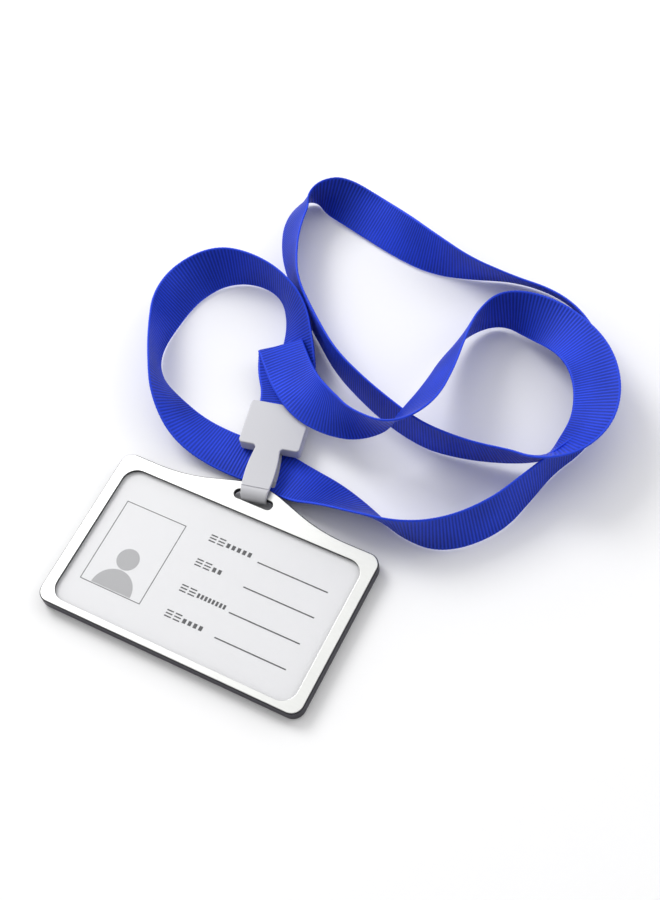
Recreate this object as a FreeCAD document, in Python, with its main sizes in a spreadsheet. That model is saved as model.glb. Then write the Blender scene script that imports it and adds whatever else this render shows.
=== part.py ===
import FreeCAD, Part
import math
import os
import Sketcher

# A lanyard badge holder, lying face up on a table. Millimetres, +Z up.
# Origin: centre of the case's flat back. X runs along the long side, +Y towards the clip.
# The case is a shallow plastic tray with an arched lug. A brushed plate frames its window,
# a foam film bonds the plate into the tray's rim, a clear sheet closes the window and a card slides in from the left.
# A plastic clip loops through the lug's slot and grips both ends of a flat lanyard ribbon.

doc = FreeCAD.newDocument("badge_holder")
sheet = doc.addObject("Spreadsheet::Sheet", "sizes")

SIZES = [
    ("card_length", 85.6, "standard identity card"),
    ("card_width", 54.0, "standard identity card"),
    ("card_thick", 0.76, "standard identity card"),
    ("card_corner", 3.18, "standard identity card"),
    ("card_end_play", 0.3, "card to the pocket's closed end"),
    ("card_play", 0.1, "card to the pocket's long walls, floor and window sheet"),
    ("side_wall", 2.9, "case wall beside the card's short edge"),
    ("wall_top", 1.1, "case wall on the clip side"),
    ("wall_bottom", 0.7, "case wall on the far side"),
    ("case_floor", 2.4, "tray floor thickness"),
    ("case_corner", 4.0, "outer corner radius of the case"),
    ("case_edge", 0.4, "round on the case's back edge"),
    ("sheet_thick", 0.35, "clear window sheet"),
    ("sheet_play", 0.1, "window sheet to the pocket walls"),
    ("film_thick", 0.3, "foam bonding film"),
    ("film_lip", 0.4, "film edge inside the plate's edge"),
    ("plate_thick", 0.6, "front plate"),
    ("rim_thick", 0.25, "case rim that shows round the plate"),
    ("rim_drop", 0.45, "plate face above the rim"),
    ("plate_play", 0.05, "plate edge to the rim"),
    ("plate_edge", 0.15, "round on the plate's front edges"),
    ("lip_side", 0.6, "plate over the card's short edges"),
    ("lip_top", 3.2, "plate over the card's clip-side edge"),
    ("lip_bottom", 1.6, "plate over the card's far edge"),
    ("window_corner", 5.0, "window corner radius"),
    ("hump_foot", 34.0, "half width of the arched lug at its foot"),
    ("hump_slope", 16.0, "half width where the lug's straight slope starts"),
    ("hump_crown", 8.0, "half width of the lug's round crown"),
    ("hump_angle", 17.7, "slope of the lug's flank, degrees"),
    ("bridge_width", 3.55, "bar left between the strap slot and the crown"),
    ("lug_thick", 1.1, "case part of the lug"),
    ("channel_half", 13.0, "half width of the relief behind the lug"),
    ("slot_side_play", 2.85, "strap edge to slot end"),
    ("slot_play", 0.43, "strap face to slot edge"),
    ("notch_radius", 10.0, "finger notch at the card mouth"),
    ("thumb_length", 26.0, "thumb slot in the back"),
    ("thumb_width", 14.0, "thumb slot in the back"),
    ("thumb_end", 36.0, "right end of the thumb slot"),
    ("clip_offset", -0.8, "clip position along the slot"),
    ("clip_turn", 12.0, "turn of the clip about Z, degrees"),
    ("strap_thick", 0.9, "clip strap"),
    ("strap_slot_width", 8.0, "strap width where it passes the slot"),
    ("strap_bulge", 9.8, "widest strap width"),
    ("strap_bulge_at", 5.0, "bulge position along the strap"),
    ("loop_play", 0.3, "strap to the bridge's corners as it turns"),
    ("loop_back", 0.83, "loop centre behind the bridge"),
    ("rise_start", 1.6, "where the tail starts to rise"),
    ("rise_end", 4.5, "where the tail levels out"),
    ("tail_lap", 5.0, "tail length inside the head"),
    ("tail_play", 0.15, "tail to its recess"),
    ("groove_at", 0.5, "living hinge behind the bridge"),
    ("groove_width", 0.5, "living hinge groove"),
    ("groove_depth", 0.25, "living hinge groove"),
    ("head_lift", 2.2, "table to the underside of the head, room for one ribbon"),
    ("neck", 14.5, "bridge to the head"),
    ("head_length", 15.9, "clip head"),
    ("head_width", 20.2, "clip head"),
    ("head_corner", 1.2, "clip head corner radius"),
    ("head_edge", 0.35, "round on the front edges of the head and strap"),
    ("neck_round", 1.1, "round where the strap's sides run into the head"),
    ("shell_thick", 1.5, "back shell of the head"),
    ("cavity_width", 15.6, "ribbon pocket in the head"),
    ("cavity_height", 2.3, "ribbon pocket in the head"),
    ("cavity_wall", 2.5, "wall between the ribbon pocket and the neck"),
    ("tooth_height", 0.2, "grip ridge"),
    ("tooth_width", 0.8, "grip ridge"),
    ("tooth_pitch", 3.6, "grip ridge spacing"),
    ("post_radius", 1.0, "snap post"),
    ("post_half_gap", 6.4, "snap posts either side of the middle"),
    ("post_depth", 1.1, "snap post length"),
    ("post_play", 0.05, "snap post to its hole"),
    ("stud_radius", 0.9, "stud that locks the tail"),
    ("stud_play", 0.1, "stud to the tail's hole"),
    ("cord_width", 2.0, "diameter of the tube that stands for the ribbon"),
    ("cord_half_gap", 3.0, "the two cord ends either side of the head's middle"),
]

for row, (alias, value, note) in enumerate(SIZES, start=1):
    sheet.set("A%d" % row, alias)
    sheet.set("B%d" % row, repr(value))
    sheet.set("C%d" % row, note)
    sheet.setAlias("B%d" % row, alias)
doc.recompute()

# Places that several pieces share, each made from the sizes above.
HALF_X = "(sizes.card_length / 2 + sizes.card_end_play + sizes.side_wall)"
HALF_Y = "(sizes.card_width / 2 + sizes.card_play + (sizes.wall_top + sizes.wall_bottom) / 2)"
CARD_Y = "((sizes.wall_bottom - sizes.wall_top) / 2)"
POCKET_Y = "(sizes.card_width / 2 + sizes.card_play)"
POCKET_END = "(sizes.card_length / 2 + sizes.card_end_play)"
POCKET_DEPTH = "(sizes.sheet_thick + sizes.card_thick + 2 * sizes.card_play)"
CASE_DEPTH = "(sizes.case_floor + %s)" % POCKET_DEPTH
PLATE_BACK = "(%s + sizes.film_thick)" % CASE_DEPTH
PLATE_FRONT = "(%s + sizes.plate_thick)" % PLATE_BACK
RIM_TOP = "(%s - sizes.rim_drop)" % PLATE_FRONT
PLATE_INSET = "(sizes.rim_thick + sizes.plate_play)"
WINDOW_X = "(sizes.card_length / 2 - sizes.lip_side)"
WINDOW_LOW = "(%s - sizes.card_width / 2 + sizes.lip_bottom)" % CARD_Y
WINDOW_HIGH = "(%s + sizes.card_width / 2 - sizes.lip_top)" % CARD_Y
SLOPE = "(sizes.hump_angle * 1 deg)"
FOOT_R = "((sizes.hump_foot - sizes.hump_slope) / sin(%s))" % SLOPE
CROWN_R = "(sizes.hump_crown / sin(%s))" % SLOPE
CROWN_Y = ("(%s + (sizes.hump_foot - sizes.hump_slope + sizes.hump_crown) * tan(%s / 2)"
           " + (sizes.hump_slope - sizes.hump_crown) * tan(%s))" % (HALF_Y, SLOPE, SLOPE))
TURN = "(sizes.clip_turn * 1 deg)"
SLOT_WIDTH = ("(sizes.strap_slot_width * sin(%s) + sizes.strap_thick * cos(%s)"
              " + 2 * sizes.slot_play)" % (TURN, TURN))
SLOT_HALF = "(sizes.strap_slot_width / 2 + sizes.slot_side_play)"
SLOT_Y = "(%s - sizes.bridge_width - %s / 2)" % (CROWN_Y, SLOT_WIDTH)
LUG_BACK = "(%s - sizes.lug_thick)" % CASE_DEPTH
PIVOT_Y = "(%s - sizes.bridge_width / 2)" % CROWN_Y
PIVOT_Z = "((%s + %s) / 2)" % (PLATE_FRONT, LUG_BACK)
BRIDGE_HIGH = "((%s - %s) / 2)" % (PLATE_FRONT, LUG_BACK)
LOOP_IN = "(sqrt((sizes.bridge_width / 2) ^ 2 + %s ^ 2) + sizes.loop_play)" % BRIDGE_HIGH
LOOP_OUT = "(%s + sizes.strap_thick)" % LOOP_IN
SIDE_DROP = "((sizes.strap_bulge - sizes.strap_slot_width) / 2)"
SIDE_RUN = "(sizes.strap_bulge_at + sizes.loop_back + %s)" % LOOP_OUT
SIDE_R = "((%s ^ 2 + %s ^ 2) / (2 * %s))" % (SIDE_RUN, SIDE_DROP, SIDE_DROP)
NECK_HALF = ("(sizes.strap_bulge / 2 - %s + sqrt(%s ^ 2 - (sizes.neck - sizes.strap_bulge_at) ^ 2))"
             % (SIDE_R, SIDE_R))
TAIL_LOW = "(sizes.head_lift - %s)" % PIVOT_Z
TAIL_END = "(sizes.neck + sizes.tail_lap)"
SHELL_TOP = "(%s + sizes.shell_thick)" % TAIL_LOW
HEAD_TOP = LOOP_OUT
HEAD_END = "(sizes.neck + sizes.head_length)"
CAVITY_AT = "(sizes.neck + sizes.cavity_wall)"
POST_AT = "(sizes.neck + sizes.cavity_wall / 2)"
STUD_AT = "(%s - 1.8 * sizes.stud_radius)" % TAIL_END


def num(expression):
    """Value of an expression as a plain number."""
    value = sheet.evalExpression(expression)
    return float(getattr(value, "Value", value))


def new_body(name):
    body = doc.addObject("PartDesign::Body", name)
    body.Label = name
    return body


def new_sketch(body, name, plane="XY_Plane", lift=None):
    """A sketch on one of the body's own origin planes, lifted along the plane's normal."""
    sketch = body.newObject("Sketcher::SketchObject", name)
    support = [f for f in body.Origin.OriginFeatures if f.Role == plane][0]
    sketch.AttachmentSupport = [(support, "")]
    sketch.MapMode = "FlatFace"
    if lift:
        sketch.setExpression("AttachmentOffset.Base.z", lift)
    return sketch


def line(sketch, x0, y0, x1, y1):
    start = FreeCAD.Vector(x0, y0, 0)
    return sketch.addGeometry(Part.LineSegment(start, FreeCAD.Vector(x1, y1, 0)), False)


def arc(sketch, x, y, radius, a0, a1):
    circle = Part.Circle(FreeCAD.Vector(x, y, 0), FreeCAD.Vector(0, 0, 1), radius)
    return sketch.addGeometry(Part.ArcOfCircle(circle, math.radians(a0), math.radians(a1)), False)


def bind(sketch, kind, items, expression):
    """A dimension whose value follows the sheet."""
    index = sketch.addConstraint(Sketcher.Constraint(kind, *items, num(expression)))
    sketch.setExpression("Constraints[%d]" % index, expression)


def at_x(sketch, geometry, point, expression):
    bind(sketch, "DistanceX", (-1, 1, geometry, point), expression)


def at_y(sketch, geometry, point, expression):
    bind(sketch, "DistanceY", (-1, 1, geometry, point), expression)


def tie(sketch, kind, *items):
    sketch.addConstraint(Sketcher.Constraint(kind, *items))


def rectangle(sketch, x0, x1, y0, y1):
    """A rectangle between four expressions."""
    a, b, c, d = num(x0), num(x1), num(y0), num(y1)
    sides = [line(sketch, a, c, b, c), line(sketch, b, c, b, d),
             line(sketch, b, d, a, d), line(sketch, a, d, a, c)]
    for i, side in enumerate(sides):
        tie(sketch, "Coincident", side, 2, sides[(i + 1) % 4], 1)
        tie(sketch, "Vertical" if i % 2 else "Horizontal", side)
    at_x(sketch, sides[0], 1, x0)
    at_y(sketch, sides[0], 1, y0)
    at_x(sketch, sides[2], 1, x1)
    at_y(sketch, sides[2], 1, y1)


def rounded(sketch, x0, x1, y0, y1, radius):
    """A rectangle with round corners between four expressions."""
    a, b, c, d, r = num(x0), num(x1), num(y0), num(y1), num(radius)
    parts = [line(sketch, a + r, c, b - r, c), arc(sketch, b - r, c + r, r, -90, 0),
             line(sketch, b, c + r, b, d - r), arc(sketch, b - r, d - r, r, 0, 90),
             line(sketch, b - r, d, a + r, d), arc(sketch, a + r, d - r, r, 90, 180),
             line(sketch, a, d - r, a, c + r), arc(sketch, a + r, c + r, r, 180, 270)]
    for i, item in enumerate(parts):
        tie(sketch, "Tangent", item, 2, parts[(i + 1) % 8], 1)
    tie(sketch, "Horizontal", parts[0])
    tie(sketch, "Vertical", parts[2])
    tie(sketch, "Horizontal", parts[4])
    tie(sketch, "Vertical", parts[6])
    for i in (3, 5, 7):
        tie(sketch, "Equal", parts[1], parts[i])
    bind(sketch, "Radius", (parts[1],), radius)
    at_x(sketch, parts[6], 1, x0)
    at_x(sketch, parts[2], 1, x1)
    at_y(sketch, parts[0], 1, y0)
    at_y(sketch, parts[4], 1, y1)


def slot(sketch, x, y, half, width):
    """A slot along X with round ends: centre, half length and full width."""
    cx, cy, r = num(x), num(y), num(width) / 2
    run = num(half) - r
    right = arc(sketch, cx + run, cy, r, -90, 90)
    top = line(sketch, cx + run, cy + r, cx - run, cy + r)
    left = arc(sketch, cx - run, cy, r, 90, 270)
    bottom = line(sketch, cx - run, cy - r, cx + run, cy - r)
    for first, second in ((right, top), (top, left), (left, bottom), (bottom, right)):
        tie(sketch, "Tangent", first, 2, second, 1)
    tie(sketch, "Horizontal", top)
    bind(sketch, "Radius", (right,), "%s / 2" % width)
    at_x(sketch, right, 3, "%s + %s - %s / 2" % (x, half, width))
    at_y(sketch, right, 3, y)
    at_x(sketch, left, 3, "%s - %s + %s / 2" % (x, half, width))


def circle_at(sketch, x, y, radius):
    shape = Part.Circle(FreeCAD.Vector(num(x), num(y), 0), FreeCAD.Vector(0, 0, 1), num(radius))
    index = sketch.addGeometry(shape, False)
    bind(sketch, "Radius", (index,), radius)
    at_x(sketch, index, 3, x)
    at_y(sketch, index, 3, y)


def holder_outline(sketch, inset):
    """Outline of the holder with its arched lug, everywhere the same inset inside the case."""
    gap = num(inset)
    hx, hy = num(HALF_X) - gap, num(HALF_Y) - gap
    rc, rf, rt = num("sizes.case_corner") - gap, num(FOOT_R) + gap, num(CROWN_R) - gap
    foot, angle = num("sizes.hump_foot"), num("sizes.hump_angle")
    sa, ca = math.sin(math.radians(angle)), math.cos(math.radians(angle))
    foot_y, crown_y = hy + rf, num(CROWN_Y) - gap - rt
    fx, fy = foot - rf * sa, foot_y - rf * ca
    tx, ty = rt * sa, crown_y + rt * ca
    g = [line(sketch, rc - hx, -hy, hx - rc, -hy), arc(sketch, hx - rc, rc - hy, rc, -90, 0),
         line(sketch, hx, rc - hy, hx, hy - rc), arc(sketch, hx - rc, hy - rc, rc, 0, 90),
         line(sketch, hx - rc, hy, foot, hy), arc(sketch, foot, foot_y, rf, 270 - angle, 270),
         line(sketch, fx, fy, tx, ty), arc(sketch, 0, crown_y, rt, 90 - angle, 90 + angle),
         line(sketch, -tx, ty, -fx, fy), arc(sketch, -foot, foot_y, rf, 270, 270 + angle),
         line(sketch, -foot, hy, rc - hx, hy), arc(sketch, rc - hx, hy - rc, rc, 90, 180),
         line(sketch, -hx, hy - rc, -hx, rc - hy), arc(sketch, rc - hx, rc - hy, rc, 180, 270)]
    # The two foot arcs curve the other way, so the outline meets them end first.
    for i in range(14):
        j = (i + 1) % 14
        tie(sketch, "Tangent", g[i], 1 if i in (5, 9) else 2, g[j], 2 if j in (5, 9) else 1)
    for i in (0, 4, 10):
        tie(sketch, "Horizontal", g[i])
    for i in (2, 12):
        tie(sketch, "Vertical", g[i])
    for i in (3, 11, 13):
        tie(sketch, "Equal", g[1], g[i])
    tie(sketch, "Equal", g[5], g[9])
    bind(sketch, "Radius", (g[1],), "sizes.case_corner - %s" % inset)
    bind(sketch, "Radius", (g[5],), "%s + %s" % (FOOT_R, inset))
    bind(sketch, "Radius", (g[7],), "%s - %s" % (CROWN_R, inset))
    at_x(sketch, g[2], 1, "%s - %s" % (HALF_X, inset))
    at_x(sketch, g[12], 1, "%s - %s" % (inset, HALF_X))
    at_y(sketch, g[0], 1, "%s - %s" % (inset, HALF_Y))
    at_y(sketch, g[4], 1, "%s - %s" % (HALF_Y, inset))
    at_y(sketch, g[10], 1, "%s - %s" % (HALF_Y, inset))
    at_x(sketch, g[5], 3, "sizes.hump_foot")
    at_x(sketch, g[9], 3, "-sizes.hump_foot")
    bind(sketch, "DistanceY", (-1, 1, g[7], 3), "%s - %s" % (CROWN_Y, CROWN_R))
    at_x(sketch, g[7], 3, "0 * sizes.hump_foot")


def pad(body, sketch, name, length):
    feature = body.newObject("PartDesign::Pad", name)
    feature.Profile = sketch
    feature.setExpression("Length", length)
    body.Tip = feature
    doc.recompute()
    return feature


def pocket(body, sketch, name, depth, reverse=False):
    """Cut a sketch: down from its plane, or up when reversed. It has to remove something."""
    before = body.Shape.Volume
    feature = body.newObject("PartDesign::Pocket", name)
    feature.Profile = sketch
    feature.Reversed = reverse
    feature.setExpression("Length", depth)
    body.Tip = feature
    doc.recompute()
    if body.Shape.Volume > before - 1e-3:
        raise RuntimeError("%s cuts nothing" % name)
    return feature


def round_edges(body, name, radius, wanted):
    """Round the edges that the test picks on the body's last feature."""
    base = body.Tip
    names = ["Edge%d" % (i + 1) for i, edge in enumerate(base.Shape.Edges) if wanted(edge)]
    if not names:
        raise RuntimeError("%s finds no edge" % name)
    feature = body.newObject("PartDesign::Fillet", name)
    feature.Base = (base, names)
    feature.setExpression("Radius", radius)
    body.Tip = feature
    doc.recompute()
    return feature


def flat_at(edge, level):
    return max(abs(v.Z - level) for v in edge.Vertexes) < 1e-5 and abs(edge.CenterOfMass.z - level) < 1e-5


# ---------------------------------------------------------------- case
case = new_body("case_body")
outline = new_sketch(case, "case_outline")
holder_outline(outline, "(0 * sizes.rim_thick)")
pad(case, outline, "case_block", RIM_TOP)
round_edges(case, "case_back_round", "sizes.case_edge", lambda e: flat_at(e, 0.0))
seat = new_sketch(case, "plate_seat_outline", lift=RIM_TOP)
holder_outline(seat, "sizes.rim_thick")
pocket(case, seat, "plate_seat", "%s - %s" % (RIM_TOP, CASE_DEPTH))
card_space = new_sketch(case, "card_space", lift=CASE_DEPTH)
rectangle(card_space, "-%s - 1" % HALF_X, POCKET_END, "%s - %s" % (CARD_Y, POCKET_Y),
          "%s + %s" % (CARD_Y, POCKET_Y))
pocket(case, card_space, "card_pocket", POCKET_DEPTH)
relief = new_sketch(case, "lug_relief", lift=LUG_BACK)
rectangle(relief, "-sizes.channel_half", "sizes.channel_half", "%s - %s / 2" % (SLOT_Y, SLOT_WIDTH),
          "%s + 1" % CROWN_Y)
pocket(case, relief, "lug_back", "%s + 1" % LUG_BACK)
strap_slot = new_sketch(case, "case_strap_slot", lift=CASE_DEPTH)
slot(strap_slot, "(0 * sizes.neck)", SLOT_Y, SLOT_HALF, SLOT_WIDTH)
pocket(case, strap_slot, "case_slot", "%s + 1" % CASE_DEPTH)
thumb = new_sketch(case, "thumb_outline", lift="sizes.case_floor")
slot(thumb, "(sizes.thumb_end - sizes.thumb_length / 2)", CARD_Y, "(sizes.thumb_length / 2)",
     "sizes.thumb_width")
pocket(case, thumb, "thumb_slot", "sizes.case_floor + 1")
notch = new_sketch(case, "notch_outline", lift="sizes.case_floor")
circle_at(notch, "-%s" % HALF_X, CARD_Y, "sizes.notch_radius")
pocket(case, notch, "finger_notch", "sizes.case_floor + 1")

# ---------------------------------------------------------------- bonding film
film = new_body("bond_film")
film_outline = new_sketch(film, "film_outline", lift=CASE_DEPTH)
holder_outline(film_outline, "(%s + sizes.film_lip)" % PLATE_INSET)
pad(film, film_outline, "film_sheet", "sizes.film_thick")
film_window = new_sketch(film, "film_window", lift=PLATE_BACK)
rounded(film_window, "-%s" % WINDOW_X, WINDOW_X, WINDOW_LOW, WINDOW_HIGH, "sizes.window_corner")
pocket(film, film_window, "film_opening", "sizes.film_thick + 1")
film_slot = new_sketch(film, "film_strap_slot", lift=PLATE_BACK)
slot(film_slot, "(0 * sizes.neck)", SLOT_Y, SLOT_HALF, SLOT_WIDTH)
pocket(film, film_slot, "film_slot", "sizes.film_thick + 1")

# ---------------------------------------------------------------- front plate
plate = new_body("front_plate")
plate_outline = new_sketch(plate, "plate_outline", lift=PLATE_BACK)
holder_outline(plate_outline, PLATE_INSET)
pad(plate, plate_outline, "plate_sheet", "sizes.plate_thick")
plate_window = new_sketch(plate, "plate_window", lift=PLATE_FRONT)
rounded(plate_window, "-%s" % WINDOW_X, WINDOW_X, WINDOW_LOW, WINDOW_HIGH, "sizes.window_corner")
pocket(plate, plate_window, "plate_opening", "sizes.plate_thick + 1")
plate_slot = new_sketch(plate, "plate_strap_slot", lift=PLATE_FRONT)
slot(plate_slot, "(0 * sizes.neck)", SLOT_Y, SLOT_HALF, SLOT_WIDTH)
pocket(plate, plate_slot, "plate_slot", "sizes.plate_thick + 1")
round_edges(plate, "plate_front_round", "sizes.plate_edge", lambda e: flat_at(e, num(PLATE_FRONT)))

# ---------------------------------------------------------------- window sheet
window = new_body("window_sheet")
window_outline = new_sketch(window, "window_outline", lift="%s - sizes.sheet_thick" % CASE_DEPTH)
rounded(window_outline, "-sizes.card_length / 2 - 4 * sizes.card_end_play",
        "%s - sizes.sheet_play" % POCKET_END,
        "%s - %s + sizes.sheet_play" % (CARD_Y, POCKET_Y),
        "%s + %s - sizes.sheet_play" % (CARD_Y, POCKET_Y), "sizes.plate_thick")
pad(window, window_outline, "window_pad", "sizes.sheet_thick")

# ---------------------------------------------------------------- card
card = new_body("card_insert")
card_outline = new_sketch(card, "card_outline", lift="sizes.case_floor + sizes.card_play")
rounded(card_outline, "-sizes.card_length / 2", "sizes.card_length / 2",
        "%s - sizes.card_width / 2" % CARD_Y, "%s + sizes.card_width / 2" % CARD_Y,
        "sizes.card_corner")
pad(card, card_outline, "card_pad", "sizes.card_thick")


# ---------------------------------------------------------------- clip
def place_clip(body):
    """The clip's own frame: origin on the bridge's axis, +Y along the strap to the head."""
    body.Placement = FreeCAD.Placement(FreeCAD.Vector(), FreeCAD.Rotation(FreeCAD.Vector(0, 0, 1), 1))
    body.setExpression("Placement.Base.x", "sizes.clip_offset")
    body.setExpression("Placement.Base.y", PIVOT_Y)
    body.setExpression("Placement.Base.z", PIVOT_Z)
    body.setExpression("Placement.Rotation.Angle", "sizes.clip_turn")


front = new_body("clip_front")
# The strap's side view, drawn on YZ: front leg, round loop, then the tail that rises.
profile = new_sketch(front, "strap_profile", plane="YZ_Plane")
gi, go, back = num(LOOP_IN), num(LOOP_OUT), -num("sizes.loop_back")
rise0, rise1 = num("sizes.rise_start"), num("sizes.rise_end")
low, thick = num(TAIL_LOW), num("sizes.strap_thick")
leg, tail = num("sizes.neck") + 1, num(TAIL_END)
p = [line(profile, leg, go, back, go), arc(profile, back, 0, go, 90, 270),
     line(profile, back, -go, rise0, -go), line(profile, rise0, -go, rise1, low),
     line(profile, rise1, low, tail, low), line(profile, tail, low, tail, low + thick),
     line(profile, tail, low + thick, rise1, low + thick),
     line(profile, rise1, low + thick, rise0, -gi), line(profile, rise0, -gi, back, -gi),
     arc(profile, back, 0, gi, 90, 270), line(profile, back, gi, leg, gi),
     line(profile, leg, gi, leg, go)]
for i in range(12):
    j = (i + 1) % 12
    kind = "Tangent" if i in (0, 1, 8, 9) else "Coincident"
    tie(profile, kind, p[i], 1 if i == 9 else 2, p[j], 2 if j == 9 else 1)
for i in (0, 2, 4, 6, 8, 10):
    tie(profile, "Horizontal", p[i])
for i in (5, 11):
    tie(profile, "Vertical", p[i])
bind(profile, "Radius", (p[1],), LOOP_OUT)
bind(profile, "Radius", (p[9],), LOOP_IN)
at_x(profile, p[1], 3, "-sizes.loop_back")
tie(profile, "PointOnObject", p[1], 3, -1)
tie(profile, "Coincident", p[1], 3, p[9], 3)
at_x(profile, p[0], 1, "sizes.neck + 1")
at_x(profile, p[3], 1, "sizes.rise_start")
at_x(profile, p[3], 2, "sizes.rise_end")
at_y(profile, p[3], 2, TAIL_LOW)
at_x(profile, p[5], 1, TAIL_END)
at_y(profile, p[5], 2, "%s + sizes.strap_thick" % TAIL_LOW)
at_x(profile, p[7], 1, "sizes.rise_end")
at_x(profile, p[7], 2, "sizes.rise_start")
strap = pad(front, profile, "strap", "sizes.strap_bulge + 2")
strap.Midplane = True
doc.recompute()

# The strap's sides bow out between the slot and the head.
sides = new_sketch(front, "strap_sides", lift="%s + 1" % LOOP_OUT)
v0, v1, wide = -num(LOOP_OUT) + back - 1, tail + 1, num("sizes.strap_bulge") / 2 + 3
radius, bulge, mid = num(SIDE_R), num("sizes.strap_bulge") / 2, num("sizes.strap_bulge_at")
for sign in (1, -1):
    centre = sign * (bulge - radius)
    x0 = sign * (bulge - radius + math.sqrt(radius ** 2 - (v0 - mid) ** 2))
    x1 = sign * (bulge - radius + math.sqrt(radius ** 2 - (v1 - mid) ** 2))
    a0 = math.degrees(math.atan2(v0 - mid, x0 - centre))
    a1 = math.degrees(math.atan2(v1 - mid, x1 - centre))
    bow = arc(sides, centre, mid, radius, *((a0, a1) if sign > 0 else (a1, a0 + 360 if a0 < 0 else a0)))
    first, last = (1, 2) if sign > 0 else (2, 1)
    top = line(sides, x1, v1, sign * wide, v1)
    edge = line(sides, sign * wide, v1, sign * wide, v0)
    base = line(sides, sign * wide, v0, x0, v0)
    tie(sides, "Coincident", bow, last, top, 1)
    tie(sides, "Coincident", top, 2, edge, 1)
    tie(sides, "Coincident", edge, 2, base, 1)
    tie(sides, "Coincident", base, 2, bow, first)
    tie(sides, "Horizontal", top)
    tie(sides, "Vertical", edge)
    tie(sides, "Horizontal", base)
    bind(sides, "Radius", (bow,), SIDE_R)
    mark = "" if sign > 0 else "-"
    at_x(sides, bow, 3, "%s(sizes.strap_bulge / 2 - %s)" % (mark, SIDE_R))
    at_y(sides, bow, 3, "sizes.strap_bulge_at")
    at_x(sides, edge, 1, "%s(sizes.strap_bulge / 2 + 3)" % mark)
    at_y(sides, edge, 1, "%s + 1" % TAIL_END)
    at_y(sides, edge, 2, "-%s - sizes.loop_back - 1" % LOOP_OUT)
pocket(front, sides, "strap_bow", "2 * %s + 2" % LOOP_OUT)

# Head front, its ribbon pocket, snap posts, the tail's hole and the living hinge.
head = new_sketch(front, "head_outline", lift=SHELL_TOP)
rounded(head, "-sizes.head_width / 2", "sizes.head_width / 2", "sizes.neck", HEAD_END,
        "sizes.head_corner")
pad(front, head, "head_block", "%s - %s" % (HEAD_TOP, SHELL_TOP))


def at_neck(edge):
    """The two upright inner corners between the strap's sides and the head."""
    box = edge.BoundBox
    upright = box.ZLength > 0.5 and box.XLength < 1e-4 and box.YLength < 1e-4
    return (upright and abs(edge.CenterOfMass.y - num("sizes.neck")) < 1e-3
            and abs(abs(edge.CenterOfMass.x) - num(NECK_HALF)) < 1e-2 and edge.CenterOfMass.z > 0)


round_edges(front, "neck_rounds", "sizes.neck_round", at_neck)
round_edges(front, "head_round", "sizes.head_edge", lambda e: flat_at(e, num(HEAD_TOP)))
cavity = new_sketch(front, "ribbon_space", lift=SHELL_TOP)
rectangle(cavity, "-sizes.cavity_width / 2", "sizes.cavity_width / 2", CAVITY_AT, "%s + 1" % HEAD_END)
pocket(front, cavity, "ribbon_pocket", "sizes.cavity_height", reverse=True)
posts = new_sketch(front, "post_circles", lift="%s - sizes.post_depth" % SHELL_TOP)
circle_at(posts, "-sizes.post_half_gap", POST_AT, "sizes.post_radius")
circle_at(posts, "sizes.post_half_gap", POST_AT, "sizes.post_radius")
pad(front, posts, "snap_posts", "sizes.post_depth")
stud_hole = new_sketch(front, "tail_hole_circle", lift="%s + sizes.strap_thick" % TAIL_LOW)
circle_at(stud_hole, "0 * sizes.neck", STUD_AT, "sizes.stud_radius + sizes.stud_play")
pocket(front, stud_hole, "tail_hole", "sizes.strap_thick")
groove = new_sketch(front, "groove_outline", lift=LOOP_OUT)
rectangle(groove, "-sizes.strap_bulge / 2", "sizes.strap_bulge / 2",
          "-sizes.groove_at - sizes.groove_width / 2", "sizes.groove_width / 2 - sizes.groove_at")
pocket(front, groove, "living_hinge", "sizes.groove_depth")
place_clip(front)

rear = new_body("clip_back")
shell = new_sketch(rear, "shell_outline", lift=TAIL_LOW)
rounded(shell, "-sizes.head_width / 2", "sizes.head_width / 2", "sizes.neck", HEAD_END,
        "sizes.head_corner")
pad(rear, shell, "shell_block", "sizes.shell_thick")
round_edges(rear, "shell_round", "sizes.case_edge", lambda e: flat_at(e, num(TAIL_LOW)))
recess = new_sketch(rear, "tail_recess_outline", lift="%s + sizes.strap_thick + sizes.tail_play" % TAIL_LOW)
rectangle(recess, "-%s - sizes.tail_play" % NECK_HALF, "%s + sizes.tail_play" % NECK_HALF,
          "sizes.neck - 1", "%s + sizes.tail_play" % TAIL_END)
pocket(rear, recess, "tail_recess", "sizes.strap_thick + sizes.tail_play + 1")
stud = new_sketch(rear, "stud_circle", lift=TAIL_LOW)
circle_at(stud, "0 * sizes.neck", STUD_AT, "sizes.stud_radius")
pad(rear, stud, "tail_stud", "sizes.strap_thick + sizes.tail_play")
holes = new_sketch(rear, "post_holes_outline", lift=SHELL_TOP)
circle_at(holes, "-sizes.post_half_gap", POST_AT, "sizes.post_radius + sizes.post_play")
circle_at(holes, "sizes.post_half_gap", POST_AT, "sizes.post_radius + sizes.post_play")
pocket(rear, holes, "post_holes", "sizes.post_depth + sizes.post_play")
teeth = new_sketch(rear, "teeth_outline", lift=SHELL_TOP)
for k in (1, 2, 3):
    middle = "%s + %d * sizes.tooth_pitch" % (CAVITY_AT, k)
    rectangle(teeth, "1 - sizes.cavity_width / 2", "sizes.cavity_width / 2 - 1",
              "%s - sizes.tooth_width / 2" % middle, "%s + sizes.tooth_width / 2" % middle)
pad(rear, teeth, "grip_teeth", "sizes.tooth_height")
place_clip(rear)


# ---------------------------------------------------------------- lanyard
def turned(u, v, w):
    """A point of the clip's own frame in the holder's frame."""
    angle = math.radians(num("sizes.clip_turn"))
    return FreeCAD.Vector(num("sizes.clip_offset") + u * math.cos(angle) - v * math.sin(angle),
                          num(PIVOT_Y) + u * math.sin(angle) + v * math.cos(angle), w)


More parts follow.
